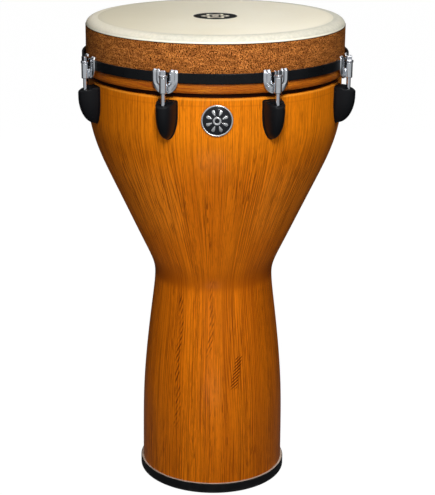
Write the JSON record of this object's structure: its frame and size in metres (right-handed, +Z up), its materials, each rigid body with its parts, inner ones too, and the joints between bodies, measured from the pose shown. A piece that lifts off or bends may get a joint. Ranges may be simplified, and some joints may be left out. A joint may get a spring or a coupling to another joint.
{
  "type": "djembe",
  "caption": "Goblet-shaped hand drum: flared wood-grain shell, key-tuned synthetic head held by a black hoop, chrome claws and rods in black lugs, rubber foot ring.",
  "frame": {"origin": "on the drum's axis in the plane its foot stands on", "axes": "+Z up along the drum's axis towards the playing head; -Y is the front, where the badge is; +X to the right seen from the front"},
  "size_m": [0.338, 0.338, 0.61],
  "materials": {
    "shell_wood": "vertical grain under a clear gloss coat",
    "black_rubber": "moulded, satin",
    "cream_film": "fine matt tooth, skin-like",
    "brown_film": "granular texture",
    "hoop_wood": "clear gloss coat",
    "black_enamel": "gloss enamel",
    "chrome": "bright plate",
    "rod_chrome": "bright plate, threaded shank",
    "zinc_steel": "zinc plate",
    "lug_black": "satin powder coat",
    "gasket_rubber": "matt",
    "brass": "turned",
    "badge_black": null
  },
  "bodies": {
    "shell_body": {"shell": "shell_wood", "foot_ring": "black_rubber", "lug_1": "lug_black", "lug_2": "lug_black", "lug_3": "lug_black", "lug_4": "lug_black", "lug_5": "lug_black", "lug_6": "lug_black", "lug_7": "lug_black", "lug_8": "lug_black", "lug_gaskets": "gasket_rubber", "swivel_nut_1": "brass", "swivel_nut_2": "brass", "swivel_nut_3": "brass", "swivel_nut_4": "brass", "swivel_nut_5": "brass", "swivel_nut_6": "brass", "swivel_nut_7": "brass", "swivel_nut_8": "brass", "lug_screws": "zinc_steel", "lug_screw_washers": "zinc_steel", "badge_plate": "chrome", "badge_dome": "badge_black"},
    "head_assembly": {"head_membrane": "cream_film", "head_collar": "brown_film", "flesh_hoop": "hoop_wood", "counterhoop": "black_enamel", "claw_1": "chrome", "claw_2": "chrome", "claw_3": "chrome", "claw_4": "chrome", "claw_5": "chrome", "claw_6": "chrome", "claw_7": "chrome", "claw_8": "chrome", "rod_washers": "zinc_steel"},
    "rod_1": {"tension_rod_1": "rod_chrome"},
    "rod_2": {"tension_rod_2": "rod_chrome"},
    "rod_3": {"tension_rod_3": "rod_chrome"},
    "rod_4": {"tension_rod_4": "rod_chrome"},
    "rod_5": {"tension_rod_5": "rod_chrome"},
    "rod_6": {"tension_rod_6": "rod_chrome"},
    "rod_7": {"tension_rod_7": "rod_chrome"},
    "rod_8": {"tension_rod_8": "rod_chrome"}
  },
  "joints": [
    {"name": "head_travel", "type": "slide", "parent": "shell_body", "child": "head_assembly", "axis": [0, 0, 1], "range_m": [0, 0.012]},
    {"name": "rod_1_turn", "type": "hinge", "parent": "head_assembly", "child": "rod_1", "pos_m": [0.0662, -0.15983, 0.566], "axis": [0, 0, 1], "range_deg": [0, 4084]},
    {"name": "rod_2_turn", "type": "hinge", "parent": "head_assembly", "child": "rod_2", "pos_m": [0.15983, -0.0662, 0.566], "axis": [0, 0, 1], "range_deg": [0, 4084]},
    {"name": "rod_3_turn", "type": "hinge", "parent": "head_assembly", "child": "rod_3", "pos_m": [0.15983, 0.0662, 0.566], "axis": [0, 0, 1], "range_deg": [0, 4084]},
    {"name": "rod_4_turn", "type": "hinge", "parent": "head_assembly", "child": "rod_4", "pos_m": [0.0662, 0.15983, 0.566], "axis": [0, 0, 1], "range_deg": [0, 4084]},
    {"name": "rod_5_turn", "type": "hinge", "parent": "head_assembly", "child": "rod_5", "pos_m": [-0.0662, 0.15983, 0.566], "axis": [0, 0, 1], "range_deg": [0, 4084]},
    {"name": "rod_6_turn", "type": "hinge", "parent": "head_assembly", "child": "rod_6", "pos_m": [-0.15983, 0.0662, 0.566], "axis": [0, 0, 1], "range_deg": [0, 4084]},
    {"name": "rod_7_turn", "type": "hinge", "parent": "head_assembly", "child": "rod_7", "pos_m": [-0.15983, -0.0662, 0.566], "axis": [0, 0, 1], "range_deg": [0, 4084]},
    {"name": "rod_8_turn", "type": "hinge", "parent": "head_assembly", "child": "rod_8", "pos_m": [-0.0662, -0.15983, 0.566], "axis": [0, 0, 1], "range_deg": [0, 4084]}
  ],
  "couplings": [
    {"joint": "rod_1_turn", "follows": "head_travel", "rad_per_m": 5936.9},
    {"joint": "rod_2_turn", "follows": "head_travel", "rad_per_m": 5936.9},
    {"joint": "rod_3_turn", "follows": "head_travel", "rad_per_m": 5936.9},
    {"joint": "rod_4_turn", "follows": "head_travel", "rad_per_m": 5936.9},
    {"joint": "rod_5_turn", "follows": "head_travel", "rad_per_m": 5936.9},
    {"joint": "rod_6_turn", "follows": "head_travel", "rad_per_m": 5936.9},
    {"joint": "rod_7_turn", "follows": "head_travel", "rad_per_m": 5936.9},
    {"joint": "rod_8_turn", "follows": "head_travel", "rad_per_m": 5936.9}
  ]
}
